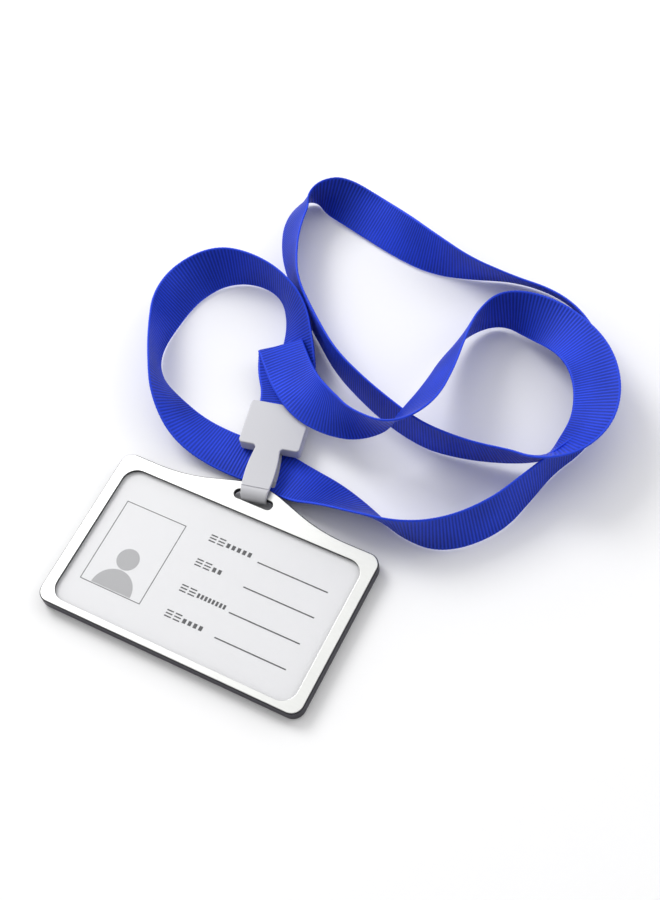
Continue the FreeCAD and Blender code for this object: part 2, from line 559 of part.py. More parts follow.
# The ribbon's way over the table, from the head round both loops and back: middle line points.
ROUTE = [
    (-7.5, 73.0, 3.9), (-13.0, 84.0, 5.1), (-19.0, 95.8, 6.9), (-29.2, 104.1, 7.9),
    (-41.7, 105.9, 7.9), (-53.0, 102.8, 7.0), (-60.7, 94.0, 4.9), (-61.4, 82.0, 6.4),
    (-58.2, 68.0, 7.9), (-52.7, 57.8, 8.0), (-43.4, 49.4, 6.6), (-31.8, 43.4, 3.6),
    (-18.0, 42.0, 1.4), (-2.0, 42.9, 1.05), (9.5, 41.2, 1.6), (21.2, 40.6, 4.6), (33.2, 39.0, 6.5),
    (46.4, 37.0, 7.9), (60.2, 40.8, 7.6), (71.6, 53.2, 7.4), (76.8, 67.2, 7.8), (80.4, 77.9, 7.6),
    (85.6, 88.2, 7.6), (87.4, 100.4, 7.6), (85.0, 112.7, 7.6), (78.0, 123.2, 7.6),
    (68.2, 132.0, 7.5), (56.4, 136.8, 7.1), (42.3, 136.9, 7.1), (27.4, 134.5, 7.9),
    (11.2, 135.5, 7.1), (-4.2, 140.4, 4.9), (-17.2, 144.6, 3.8), (-29.0, 146.6, 5.8),
    (-38.0, 144.0, 7.4), (-39.6, 134.2, 6.1), (-35.6, 122.2, 6.8), (-29.6, 112.3, 7.6),
    (-22.4, 103.2, 8.0), (-10.3, 93.0, 8.0), (1.9, 83.4, 8.0), (15.5, 77.1, 8.0), (26.2, 73.3, 7.9),
    (34.6, 71.1, 7.7), (43.2, 69.9, 7.8), (56.0, 71.0, 8.1), (69.6, 73.3, 10.6), (78.6, 74.8, 14.4),
    (84.6, 81.2, 15.8), (87.1, 92.3, 16.0), (84.1, 103.6, 16.0), (77.1, 113.6, 15.2),
    (66.9, 120.3, 13.0), (55.0, 124.0, 10.0), (43.0, 124.0, 8.2), (36.8, 115.4, 8.7),
    (35.6, 101.7, 11.4), (37.4, 86.8, 16.3), (37.6, 72.7, 21.0), (34.1, 63.0, 22.4),
    (22.6, 59.8, 19.2), (11.3, 62.0, 14.3), (0.9, 65.6, 11.1), (-7.0, 71.0, 9.7),
    (-14.0, 77.8, 9.3), (-17.9, 81.8, 8.9), (-18.0, 81.7, 4.2), (-15.9, 75.4, 4.4),
    (-12.3, 69.0, 4.7),
]
gap, cavity_end = num("sizes.cord_half_gap"), num(CAVITY_AT)
mouth, height = num(HEAD_END), num(PIVOT_Z + " + " + SHELL_TOP) + num("sizes.cavity_height") / 2 + 0.1
points = [turned(gap, cavity_end, height), turned(gap, mouth - 1.5, height)]
points += [FreeCAD.Vector(*point) for point in ROUTE]
points += [turned(-gap, mouth - 1.5, height), turned(-gap, cavity_end, height)]


def cord_path(points):
    """Straight runs joined by tangent arcs, each as large as its two runs allow."""
    edges, radii, here = [], [], points[0]
    for before, corner, after in zip(points, points[1:], points[2:]):
        inward, outward = (before - corner), (after - corner)
        shorter = min(inward.Length, outward.Length)
        inward.normalize()
        outward.normalize()
        turn = math.pi - inward.getAngle(outward)
        back_off = 0.45 * shorter
        radius = back_off / math.tan(turn / 2)
        start, end = corner + inward * back_off, corner + outward * back_off
        bisector = (inward + outward).normalize()
        middle = corner + bisector * (radius / math.cos(turn / 2) - radius)
        edges.append(Part.LineSegment(here, start).toShape())
        edges.append(Part.Arc(start, middle, end).toShape())
        radii.append((radius, math.degrees(turn)))
        here = end
    edges.append(Part.LineSegment(here, points[-1]).toShape())
    return Part.Wire(edges), radii


path, radii = cord_path(points)
tube_radius = num("sizes.cord_width") / 2
section = Part.Wire(Part.makeCircle(tube_radius, points[0], points[1] - points[0]))
tube = path.makePipeShell([section], True, False)
if tube.Volume < 0:
    tube.reverse()
ribbon = doc.addObject("Part::Feature", "lanyard_ribbon")
ribbon.Label = "lanyard_ribbon"
ribbon.Shape = tube
ribbon.Placement = FreeCAD.Placement()
runs = [(b - a).Length for a, b in zip(points, points[1:])]
print("cord arc radii:", " ".join("%.1f" % radius for radius, _ in radii))
print("cord turns:", " ".join("%.0f" % turn for _, turn in radii))
print("cord runs:", " ".join("%.1f" % run for run in runs))
print("cord length %.1f, volume %.1f, section x length %.1f"
      % (path.Length, tube.Volume, math.pi * tube_radius ** 2 * path.Length))

# ---------------------------------------------------------------- check and write
doc.recompute()
for item in doc.Objects:
    if "Invalid" in item.State or "Error" in item.State:
        raise RuntimeError("%s failed: %s" % (item.Name, item.State))
nodes = [case, film, plate, window, card, front, rear, ribbon]
for node in nodes:
    if node.Shape.isNull() or not node.Shape.isValid():
        raise RuntimeError("%s has no valid shape" % node.Label)
    if len(node.Shape.Solids) != 1:
        raise RuntimeError("%s is %d solids" % (node.Label, len(node.Shape.Solids)))
os.makedirs("parts", exist_ok=True)
for node in nodes:
    node.Shape.exportStep("parts/%s.step" % node.Label)
    box = node.Shape.BoundBox
    print("%-15s volume %8.1f  x %7.2f %7.2f  y %7.2f %7.2f  z %6.2f %6.2f"
          % (node.Label, node.Shape.Volume, box.XMin, box.XMax, box.YMin, box.YMax, box.ZMin, box.ZMax))
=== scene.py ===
"""Lanyard badge holder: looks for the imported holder, clip, card and woven neck ribbon."""
import math

import bpy
import numpy
from bpy.props import FloatProperty, FloatVectorProperty, PointerProperty
from mathutils import Matrix, Vector


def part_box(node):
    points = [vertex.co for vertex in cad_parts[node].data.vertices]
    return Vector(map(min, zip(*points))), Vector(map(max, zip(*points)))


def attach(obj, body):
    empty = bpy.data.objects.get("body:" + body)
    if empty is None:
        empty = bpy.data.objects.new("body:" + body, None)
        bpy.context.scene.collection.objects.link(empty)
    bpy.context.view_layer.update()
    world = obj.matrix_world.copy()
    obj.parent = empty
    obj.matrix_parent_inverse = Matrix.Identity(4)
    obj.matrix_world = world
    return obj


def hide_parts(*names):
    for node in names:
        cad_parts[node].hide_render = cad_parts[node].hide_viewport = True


bl_info = {
    "name": "Badge Holder Maker",
    "version": (1, 0, 0),
    "blender": (4, 5, 0),
    "location": "View3D > Sidebar > Badge",
    "description": "Lays the ribbon, prints the card and finishes a lanyard badge holder",
    "category": "Object",
}

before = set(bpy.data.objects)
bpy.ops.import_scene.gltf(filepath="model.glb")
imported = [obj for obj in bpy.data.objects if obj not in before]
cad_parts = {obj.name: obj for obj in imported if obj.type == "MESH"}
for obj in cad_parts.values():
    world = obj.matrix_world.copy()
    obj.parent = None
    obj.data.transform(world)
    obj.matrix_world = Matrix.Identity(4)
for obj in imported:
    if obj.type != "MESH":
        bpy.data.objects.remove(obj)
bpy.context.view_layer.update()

# Middle line of the ribbon from the clip's head, round both loops and back into the head:
# x, y, z in metres, and the roll in degrees. Roll lifts the edge on the right of the way
# along it: 0 lies flat, 90 stands on edge, 180 lies flat on the other face.
ROUTE = [
    (-0.0043, 0.0494, 0.00440, 0), (-0.0068, 0.0614, 0.00440, 0), (-0.0086, 0.0730, 0.00390, 8),
    (-0.0130, 0.0840, 0.00510, 38), (-0.0190, 0.0958, 0.00690, 60), (-0.0292, 0.1041, 0.00790, 85),
    (-0.0417, 0.1059, 0.00790, 81), (-0.0530, 0.1028, 0.00700, 59), (-0.0607, 0.0940, 0.00490, 35),
    (-0.0614, 0.0820, 0.00640, 52), (-0.0582, 0.0680, 0.00790, 84), (-0.0527, 0.0578, 0.00800, 86),
    (-0.0434, 0.0494, 0.00660, 53), (-0.0318, 0.0434, 0.00360, 22), (-0.0180, 0.0420, 0.00140, 6),
    (-0.0020, 0.0429, 0.00102, 0), (0.0095, 0.0412, 0.00160, 9), (0.0212, 0.0406, 0.00460, 33),
    (0.0332, 0.0390, 0.00650, 54), (0.0464, 0.0370, 0.00790, 82), (0.0602, 0.0408, 0.00760, 109),
    (0.0716, 0.0532, 0.00740, 113), (0.0768, 0.0672, 0.00780, 100), (0.0804, 0.0779, 0.00760, 90),
    (0.0856, 0.0882, 0.00760, 90), (0.0874, 0.1004, 0.00760, 92), (0.0850, 0.1127, 0.00760, 97),
    (0.0780, 0.1232, 0.00760, 105), (0.0682, 0.1320, 0.00750, 112), (0.0564, 0.1368, 0.00710, 118),
    (0.0423, 0.1369, 0.00710, 120), (0.0274, 0.1345, 0.00790, 98), (0.0112, 0.1355, 0.00710, 60),
    (-0.0042, 0.1404, 0.00490, 36), (-0.0168, 0.1441, 0.00400, 25), (-0.0282, 0.1456, 0.00620, 44),
    (-0.0374, 0.1430, 0.00830, 112), (-0.0396, 0.1342, 0.00610, 133),
    (-0.0356, 0.1222, 0.00680, 122), (-0.0296, 0.1123, 0.00760, 108),
    (-0.0224, 0.1032, 0.00800, 94), (-0.0103, 0.0930, 0.00800, 92), (0.0019, 0.0834, 0.00800, 93),
    (0.0155, 0.0771, 0.00800, 95), (0.0262, 0.0733, 0.00790, 96), (0.0346, 0.0711, 0.00770, 94),
    (0.0432, 0.0699, 0.00780, 92), (0.0560, 0.0710, 0.00810, 84), (0.0696, 0.0733, 0.01060, 76),
    (0.0786, 0.0748, 0.01440, 60), (0.0846, 0.0812, 0.01580, 40), (0.0871, 0.0923, 0.01600, 25),
    (0.0841, 0.1036, 0.01600, 14), (0.0771, 0.1136, 0.01520, 10), (0.0669, 0.1203, 0.01300, 14),
    (0.0550, 0.1240, 0.01000, 42), (0.0430, 0.1240, 0.00820, 74), (0.0368, 0.1154, 0.00870, 98),
    (0.0356, 0.1017, 0.01140, 119), (0.0374, 0.0868, 0.01630, 129), (0.0376, 0.0727, 0.02100, 135),
    (0.0341, 0.0630, 0.02240, 120), (0.0226, 0.0598, 0.01920, 86), (0.0113, 0.0620, 0.01430, 57),
    (0.0009, 0.0656, 0.01110, 27), (-0.0070, 0.0710, 0.00970, 9), (-0.0140, 0.0778, 0.00930, 3),
    (-0.0179, 0.0818, 0.00890, 0), (-0.0180, 0.0817, 0.00420, 180), (-0.0149, 0.0752, 0.00460, 180),
    (-0.0099, 0.0690, 0.00520, 180), (-0.0068, 0.0614, 0.00535, 180),
    (-0.0043, 0.0494, 0.00535, 180),
]


class BadgeRibbonSettings(bpy.types.PropertyGroup):
    """Sizes and colours of the woven neck ribbon."""
    width: FloatProperty(name="Ribbon Width", description="Edge to edge", default=0.015,
                         unit="LENGTH", precision=4)
    thickness: FloatProperty(name="Thickness", description="Over the ribs", default=0.0009,
                             unit="LENGTH", precision=5)
    rib_pitch: FloatProperty(name="Rib Pitch", description="From one cross rib to the next",
                             default=0.00105, unit="LENGTH", precision=5)
    rib_height: FloatProperty(name="Rib Height", description="Depth of the groove between ribs",
                              default=0.00018, unit="LENGTH", precision=5)
    yarn: FloatVectorProperty(name="Yarn", description="Face colour", subtype="COLOR", size=3,
                              default=(0.018, 0.062, 0.74))
    # Painted shade: the darker colour in the grooves between the ribs.
    shade: FloatVectorProperty(name="Groove Shade", description="Painted shade between the ribs",
                               subtype="COLOR", size=3, default=(0.004, 0.015, 0.165))
    selvedge: FloatVectorProperty(name="Selvedge", description="Edge yarn colour",
                                  subtype="COLOR", size=3, default=(0.018, 0.060, 0.66))


class BadgeHolderSettings(bpy.types.PropertyGroup):
    """Colours of the tray, plate, film and clip, and the painted shade of the plate's walls."""
    tray: FloatVectorProperty(name="Tray", description="Moulded tray", subtype="COLOR", size=3,
                              default=(0.011, 0.009, 0.020))
    # Partly painted shade: a modelled layer whose near-black also paints the shade on the window
    # walls.
    film: FloatVectorProperty(name="Film", description="Bonding film, near-black partly as painted wall shade", subtype="COLOR", size=3,
                              default=(0.012, 0.012, 0.015))
    plate: FloatVectorProperty(name="Plate", description="Brushed plate", subtype="COLOR", size=3,
                               default=(0.71, 0.715, 0.70))
    # Painted shade: dark colour on the plate's window walls, standing in for the shade on them.
    wall_shade: FloatVectorProperty(name="Plate Wall Shade", description="Painted shade on the plate's window walls",
                              subtype="COLOR", size=3, default=(0.055, 0.060, 0.066))
    clip: FloatVectorProperty(name="Clip", description="Moulded clip", subtype="COLOR", size=3,
                              default=(0.56, 0.56, 0.59))
    clear: FloatProperty(name="Sheet Haze", description="How much the window sheet shows",
                         default=0.04, min=0.0, max=1.0, subtype="FACTOR")


class BadgeCardSettings(bpy.types.PropertyGroup):
    """Print on the card, measured from the middle of the holder."""
    stock: FloatVectorProperty(name="Stock", description="Card colour", subtype="COLOR", size=3,
                               default=(0.74, 0.74, 0.755))
    grey_ink: FloatVectorProperty(name="Grey Ink", description="Portrait place holder",
                                  subtype="COLOR", size=3, default=(0.38, 0.38, 0.39))
    line_ink: FloatVectorProperty(name="Line Ink", description="Frame round the place holder",
                                  subtype="COLOR", size=3, default=(0.085, 0.085, 0.09))
    dark_ink: FloatVectorProperty(name="Dark Ink", description="Rules and label blocks",
                                  subtype="COLOR", size=3, default=(0.018, 0.018, 0.022))
    ink_thick: FloatProperty(name="Ink Thickness", description="How proud the print stands",
                             default=0.00003, unit="LENGTH", precision=5)
    rule_thick: FloatProperty(name="Rule Thickness", description="Width of the writing rules",
                              default=0.00042, unit="LENGTH", precision=5)


class BadgeStageSettings(bpy.types.PropertyGroup):
    """Floor, lights and camera."""
    floor: FloatVectorProperty(name="Floor", description="Floor colour", subtype="COLOR", size=3,
                               default=(0.93, 0.93, 0.935))
    key: FloatProperty(name="Key Light", description="Power of the large soft light", default=5.0,
                       unit="POWER")
    fill: FloatProperty(name="Fill Light", description="Power of the side light", default=1.2,
                        unit="POWER")
    sky: FloatProperty(name="Sky", description="Strength of the even light", default=1.05, min=0.0)
    open_side: FloatProperty(name="Open Side",
                             description="Share of the even light from the open side",
                             default=0.30, min=0.0, max=1.0, subtype="FACTOR")
    distance: FloatProperty(name="Camera Distance", description="Camera to the point it looks at",
                            default=0.4699, unit="LENGTH", precision=4)


# ------------------------------------------------------------------ materials
def new_material(name):
    """A material with a Principled shader, as (material, nodes, links, shader)."""
    material = bpy.data.materials.new(name)
    material.use_nodes = True
    tree = material.node_tree
    return material, tree.nodes, tree.links, tree.nodes["Principled BSDF"]


def math_node(tree, operation, first, second=None, clamp=False):
    """A Math node fed by sockets or numbers; gives back its output."""
    node = tree.nodes.new("ShaderNodeMath")
    node.operation = operation
    node.use_clamp = clamp
    for socket, value in zip(node.inputs, (first, second)):
        if value is None:
            continue
        if isinstance(value, (int, float)):
            socket.default_value = value
        else:
            tree.links.new(value, socket)
    return node.outputs[0]


def moulded_grain():
    """Node group for the fine grain of a moulded, printed or anodised face."""
    name = "moulded grain"
    if name in bpy.data.node_groups:
        return bpy.data.node_groups[name]
    group = bpy.data.node_groups.new(name, "ShaderNodeTree")
    face = group.interface
    for label, kind, value in (("Colour", "NodeSocketColor", (0.5, 0.5, 0.5, 1.0)),
                               ("Grain Size", "NodeSocketFloat", 0.0004),
                               ("Tint", "NodeSocketFloat", 0.05),
                               ("Roughness", "NodeSocketFloat", 0.45),
                               ("Roughness Spread", "NodeSocketFloat", 0.08),
                               ("Stretch", "NodeSocketVector", (1.0, 1.0, 1.0))):
        socket = face.new_socket(name=label, in_out="INPUT", socket_type=kind)
        socket.default_value = value
    face.new_socket(name="Colour", in_out="OUTPUT", socket_type="NodeSocketColor")
    face.new_socket(name="Roughness", in_out="OUTPUT", socket_type="NodeSocketFloat")
    face.new_socket(name="Height", in_out="OUTPUT", socket_type="NodeSocketFloat")
    nodes, links = group.nodes, group.links
    inside, outside = nodes.new("NodeGroupInput"), nodes.new("NodeGroupOutput")
    place = nodes.new("ShaderNodeTexCoord")
    stretch = nodes.new("ShaderNodeVectorMath")
    stretch.operation = "MULTIPLY"
    links.new(place.outputs["Object"], stretch.inputs[0])
    links.new(inside.outputs["Stretch"], stretch.inputs[1])
    fine = nodes.new("ShaderNodeTexNoise")
    fine.inputs["Detail"].default_value = 3.0
    links.new(stretch.outputs[0], fine.inputs["Vector"])
    links.new(math_node(group, "DIVIDE", 1.0, inside.outputs["Grain Size"]), fine.inputs["Scale"])
    broad = nodes.new("ShaderNodeTexNoise")
    broad.inputs["Scale"].default_value = 45.0
    links.new(place.outputs["Object"], broad.inputs["Vector"])
    both = math_node(group, "ADD", math_node(group, "MULTIPLY", fine.outputs["Fac"], 0.65),
                     math_node(group, "MULTIPLY", broad.outputs["Fac"], 0.35))
    swing = math_node(group, "SUBTRACT", math_node(group, "MULTIPLY", both, 2.0), 1.0)
    gain = math_node(group, "ADD", 1.0, math_node(group, "MULTIPLY", swing, inside.outputs["Tint"]))
    colour = nodes.new("ShaderNodeVectorMath")
    colour.operation = "SCALE"
    links.new(inside.outputs["Colour"], colour.inputs[0])
    links.new(gain, colour.inputs["Scale"])
    links.new(colour.outputs[0], outside.inputs["Colour"])
    rough = math_node(group, "ADD", inside.outputs["Roughness"],
                      math_node(group, "MULTIPLY", swing, inside.outputs["Roughness Spread"]), True)
    links.new(rough, outside.inputs["Roughness"])
    links.new(fine.outputs["Fac"], outside.inputs["Height"])
    return group


def grained(name, colour, grain=0.0004, tint=0.05, rough=0.45, spread=0.08, bump=0.00001,
            stretch=(1.0, 1.0, 1.0), metallic=0.0):
    """A material whose colour, roughness and bump come from the grain group."""
    material, nodes, links, shader = new_material(name)
    group = nodes.new("ShaderNodeGroup")
    group.node_tree = moulded_grain()
    group.inputs["Colour"].default_value = (*colour, 1.0)
    group.inputs["Grain Size"].default_value = grain
    group.inputs["Tint"].default_value = tint
    group.inputs["Roughness"].default_value = rough
    group.inputs["Roughness Spread"].default_value = spread
    group.inputs["Stretch"].default_value = stretch
    links.new(group.outputs["Colour"], shader.inputs["Base Color"])
    links.new(group.outputs["Roughness"], shader.inputs["Roughness"])
    relief = nodes.new("ShaderNodeBump")
    relief.inputs["Distance"].default_value = bump
    relief.inputs["Strength"].default_value = 1.0
    links.new(group.outputs["Height"], relief.inputs["Height"])
    links.new(relief.outputs["Normal"], shader.inputs["Normal"])
    shader.inputs["Metallic"].default_value = metallic
    return material, shader


def walls(material, colour, node):
    """Paint shade on the walls of a sheet's openings: walls that lean from the sheet's face
    and look back at its middle get a dark colour that stands in for the shade there."""
    tree = material.node_tree
    shader = tree.nodes["Principled BSDF"]
    face = shader.inputs["Base Color"].links[0].from_socket
    place = tree.nodes.new("ShaderNodeTexCoord")
    split = tree.nodes.new("ShaderNodeSeparateXYZ")
    tree.links.new(place.outputs["Normal"], split.inputs[0])
    upright = tree.nodes.new("ShaderNodeMapRange")
    upright.inputs["From Min"].default_value = 0.75
    upright.inputs["From Max"].default_value = 0.15
    tree.links.new(math_node(tree, "ABSOLUTE", split.outputs["Z"]), upright.inputs["Value"])
    from_middle = tree.nodes.new("ShaderNodeVectorMath")
    from_middle.operation = "SUBTRACT"
    to_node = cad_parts[node].matrix_world.inverted()
    from_middle.inputs[1].default_value = to_node @ Vector((0, 0, 0))
    tree.links.new(place.outputs["Object"], from_middle.inputs[0])
    inward = tree.nodes.new("ShaderNodeVectorMath")
    inward.operation = "DOT_PRODUCT"
    tree.links.new(place.outputs["Normal"], inward.inputs[0])
    tree.links.new(from_middle.outputs[0], inward.inputs[1])
    inner = math_node(tree, "LESS_THAN", inward.outputs["Value"], 0.0)
    mix = tree.nodes.new("ShaderNodeMix")
    mix.data_type = "RGBA"
    mix.inputs["B"].default_value = (*colour, 1.0)
    # Painted shade: only the inner, upright walls take the dark wall colour.
    share = math_node(tree, "MULTIPLY", upright.outputs["Result"], inner)
    tree.links.new(share, mix.inputs["Factor"])
    tree.links.new(face, mix.inputs["A"])
    tree.links.new(mix.outputs["Result"], shader.inputs["Base Color"])


def dress(node, material):
    """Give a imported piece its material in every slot."""
    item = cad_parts[node]
    if not item.material_slots:
        item.data.materials.append(material)
    for place in item.material_slots:
        place.material = material
    return item


def ribbon_material(look):
    """Ribbed weave: yarn ribs, painted groove shade, painted satin highlights, brighter selvedges.
    """
    material, nodes, links, shader = new_material("ribbed ribbon weave")
    tree = material.node_tree
    place = nodes.new("ShaderNodeUVMap")
    place.uv_map = "Weave"
    split = nodes.new("ShaderNodeSeparateXYZ")
    links.new(place.outputs["UV"], split.inputs[0])
    # Painted shade: a sine over the ribs mixes from the yarn colour on the ribs to the groove
    # shade.
    phase = math_node(tree, "MULTIPLY", split.outputs["X"], 2.0 * math.pi)
    rib = math_node(tree, "MULTIPLY_ADD", math_node(tree, "SINE", phase), 0.5)
    rib.node.inputs[2].default_value = 0.5
    across = math_node(tree, "ABSOLUTE", math_node(tree, "SUBTRACT", split.outputs["Y"], 0.5))
    edge = nodes.new("ShaderNodeMapRange")
    edge.inputs["From Min"].default_value = 0.445
    edge.inputs["From Max"].default_value = 0.475
    links.new(across, edge.inputs["Value"])
    stretch = nodes.new("ShaderNodeVectorMath")
    stretch.operation = "MULTIPLY"
    stretch.inputs[1].default_value = (1.0, 46.0, 1.0)
    links.new(place.outputs["UV"], stretch.inputs[0])
    yarn = nodes.new("ShaderNodeTexNoise")
    yarn.inputs["Scale"].default_value = 1.4
    yarn.inputs["Detail"].default_value = 2.0
    links.new(stretch.outputs[0], yarn.inputs["Vector"])
    # Painted highlight: slow noise along the ribbon lifts the yarn share in long bands, a painted
    # satin gleam.
    slow = nodes.new("ShaderNodeVectorMath")
    slow.operation = "MULTIPLY"
    slow.inputs[1].default_value = (0.045, 0.9, 1.0)
    links.new(place.outputs["UV"], slow.inputs[0])
    painted_gleam_noise = nodes.new("ShaderNodeTexNoise")
    painted_gleam_noise.inputs["Scale"].default_value = 1.0
    painted_gleam_noise.inputs["Detail"].default_value = 1.0
    links.new(slow.outputs[0], painted_gleam_noise.inputs["Vector"])
    fleck = math_node(tree, "MULTIPLY", yarn.outputs["Fac"], 0.28)
    painted_gleam = math_node(tree, "SUBTRACT", painted_gleam_noise.outputs["Fac"], 0.36)
    painted_gleam = math_node(tree, "MULTIPLY", painted_gleam, 0.75)
    fleck_and_painted_light = math_node(tree, "ADD", math_node(tree, "MULTIPLY", rib, 0.62),
                      math_node(tree, "ADD", fleck, painted_gleam), True)
    face = nodes.new("ShaderNodeMix")
    face.data_type = "RGBA"
    face.inputs["A"].default_value = (*look.shade, 1.0)
    face.inputs["B"].default_value = (*look.yarn, 1.0)
    links.new(fleck_and_painted_light, face.inputs["Factor"])
    rim = nodes.new("ShaderNodeMix")
    rim.data_type = "RGBA"
    rim.inputs["B"].default_value = (*look.selvedge, 1.0)
    links.new(edge.outputs["Result"], rim.inputs["Factor"])
    links.new(face.outputs["Result"], rim.inputs["A"])
    links.new(rim.outputs["Result"], shader.inputs["Base Color"])
    rough = math_node(tree, "ADD", 0.42, math_node(tree, "MULTIPLY", yarn.outputs["Fac"], 0.2))
    links.new(rough, shader.inputs["Roughness"])
    relief = nodes.new("ShaderNodeBump")
    relief.inputs["Distance"].default_value = 0.00006
    links.new(yarn.outputs["Fac"], relief.inputs["Height"])
    links.new(relief.outputs["Normal"], shader.inputs["Normal"])
    shader.inputs["Specular IOR Level"].default_value = 0.22
    shader.inputs["Metallic"].default_value = 0.3
    shader.inputs["Sheen Weight"].default_value = 0.08
    shader.inputs["Sheen Roughness"].default_value = 0.4
    shader.inputs["Sheen Tint"].default_value = (0.10, 0.20, 1.0, 1.0)
    return material


# ------------------------------------------------------------------ ribbon
ROWS_PER_RIB = 4
# Shares of the half width: where the selvedge starts, and where its edge is bevelled.
RIM_FROM, BEVEL_FROM = 0.915, 0.95
# Share of the thickness left at the selvedge, share of that left at its bevel, and share of the
# half width by which the ribs move the selvedge out and in.
RIM_SHARE, BEVEL_SHARE, RIM_WAVE = 0.86, 0.72, 0.008


def follow(points, name):
    """Points along the smooth spline that has these control points."""
    curve = bpy.data.curves.new(name, "CURVE")
    curve.dimensions = "3D"
    spline = curve.splines.new("NURBS")
    spline.points.add(len(points) - 1)
    for knot, point in zip(spline.points, points):
        knot.co = (*point, 1.0)
    spline.order_u = 3
    spline.use_endpoint_u = True
    spline.resolution_u = 14
    holder = bpy.data.objects.new(name, curve)
    bpy.context.scene.collection.objects.link(holder)
    mesh = bpy.data.meshes.new_from_object(holder)
    line = numpy.array([tuple(vertex.co) for vertex in mesh.vertices])
    bpy.data.objects.remove(holder)
    bpy.data.meshes.remove(mesh)
    bpy.data.curves.remove(curve)
    return line


def edge_points(route, half):
    """Control points of the ribbon's right-hand edge, from each point's roll."""
    points = [Vector(stop[:3]) for stop in route]
    edges = []
    for i, stop in enumerate(route):
        ahead = points[min(i + 1, len(points) - 1)] - points[max(i - 1, 0)]
        right = Vector((ahead.y, -ahead.x, 0.0)).normalized()
        roll = math.radians(stop[3])
        lifted = math.cos(roll) * right + math.sin(roll) * Vector((0, 0, 1))
        edges.append(points[i] + half * lifted)
    return edges


def unit(rows):
    return rows / numpy.linalg.norm(rows, axis=1)[:, None]


def spread(rows, at, where):
    """Rows resampled at new places along the line."""
    return numpy.stack([numpy.interp(where, at, rows[:, k]) for k in range(3)], axis=1)


class BADGE_OT_ribbon(bpy.types.Operator):
    """Weave the neck ribbon along its route, with raised ribs and firm selvedges"""
    bl_idname = "badge.lay_ribbon"
    bl_label = "Lay Ribbon"

    def execute(self, context):
        look = context.scene.badge_ribbon
        half = look.width / 2
        middle = follow([stop[:3] for stop in ROUTE], "ribbon_middle")
        edge = follow(edge_points(ROUTE, half), "ribbon_edge")
        if len(middle) != len(edge):
            raise RuntimeError("the ribbon's middle and edge splines differ")
        steps = numpy.linalg.norm(numpy.diff(middle, axis=0), axis=1)
        run = numpy.concatenate([[0.0], numpy.cumsum(steps)])
        ribs = int(run[-1] / look.rib_pitch)
        where = numpy.linspace(0.0, run[-1], ribs * ROWS_PER_RIB + 1)
        line = spread(middle, run, where)
        along = unit(spread(numpy.gradient(middle, run, axis=0), run, where))
        wide = spread(edge - middle, run, where)
        wide = unit(wide - along * numpy.sum(wide * along, axis=1)[:, None])
        face = numpy.cross(along, wide)
        # Cross-section: from the left selvedge over the top to the right one and back below.
        sides = numpy.array([-1.0, -0.975, -0.93, -0.9, -0.45, 0.0, 0.45, 0.9, 0.93, 0.975, 1.0])
        top = [(s, 1) for s in sides]
        section = top + [(s, -1) for s in sides[-2:0:-1]]
        wave = 0.5 + 0.5 * numpy.sin(2 * math.pi * numpy.arange(len(where)) / ROWS_PER_RIB)
        thick = look.thickness / 2
        rows = []
        for s, up in section:
            rim = abs(s) > RIM_FROM
            groove = 0.0 if rim else look.rib_height
            lift = thick * (RIM_SHARE if rim else 1.0) - groove * (1 - wave)
            if abs(s) > BEVEL_FROM:
                lift = lift * (BEVEL_SHARE if abs(s) < 1.0 else 0.0)
            reach = half * s * (1.0 + (RIM_WAVE * (wave - 0.5) if rim else 0.0))
            reach = numpy.broadcast_to(reach, wave.shape)
            rows.append(line + wide * reach[:, None] + face * (up * lift)[:, None])
        count, turn = len(section), len(where)
        vertices = numpy.stack(rows, axis=1).reshape(-1, 3)
        ring = numpy.arange(count)
        base = (numpy.arange(turn - 1) * count)[:, None]
        after = numpy.roll(ring, -1)
        faces = numpy.stack([base + ring, base + after, base + count + after, base + count + ring],
                            axis=2).reshape(-1, 4)
        mesh = bpy.data.meshes.new("neck_ribbon")
        ends = [tuple(ring[::-1].tolist()), tuple((ring + (turn - 1) * count).tolist())]
        mesh.from_pydata(vertices.tolist(), [], faces.tolist() + ends)
        layer = mesh.uv_layers.new(name="Weave")
        across = numpy.array([(s + 1) / 2 for s, _ in section])
        corner = numpy.empty(len(mesh.loops), dtype=numpy.int64)
        mesh.loops.foreach_get("vertex_index", corner)
        uv = numpy.stack([(corner // count) / float(ROWS_PER_RIB), across[corner % count]], axis=1)
        layer.data.foreach_set("uv", uv.astype(numpy.float32).ravel())
        mesh.polygons.foreach_set("use_smooth", [True] * len(mesh.polygons))
        mesh.validate()
        mesh.update()
        mesh.materials.append(ribbon_material(look))
        ribbon = bpy.data.objects.new("neck_ribbon", mesh)
        context.scene.collection.objects.link(ribbon)
        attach(ribbon, "clip")
        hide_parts("lanyard_ribbon")
        return {"FINISHED"}


# ------------------------------------------------------------------ card print
def ink_piece(name, shapes, level, thick, material, body):
    """One printed piece: closed flat shapes, each a ring of points, given a thickness."""
    vertices, faces = [], []
    for ring in shapes:
        first, count = len(vertices), len(ring)
        vertices += [(x, y, level) for x, y in ring] + [(x, y, level + thick) for x, y in ring]
        faces.append(tuple(first + i for i in reversed(range(count))))
        faces.append(tuple(first + count + i for i in range(count)))
        for i in range(count):
            j = (i + 1) % count
            faces.append((first + i, first + j, first + count + j, first + count + i))
    mesh = bpy.data.meshes.new(name)
    mesh.from_pydata(vertices, [], faces)
    mesh.update()
    mesh.materials.append(material)
    piece = bpy.data.objects.new(name, mesh)
    bpy.context.scene.collection.objects.link(piece)
    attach(piece, body)
    return piece


def bar(x0, x1, y0, y1):
    return [(x0, y0), (x1, y0), (x1, y1), (x0, y1)]


def disc(x, y, radius, low=None, steps=48):
    """A disc, cut flat below a level when one is given."""
    start, end = 0.0, 2 * math.pi
    if low is not None:
        start = math.asin((low - y) / radius)
        end = math.pi - start
    last = steps if low is None else steps - 1
    return [(x + radius * math.cos(start + (end - start) * i / last),
             y + radius * math.sin(start + (end - start) * i / last)) for i in range(steps)]


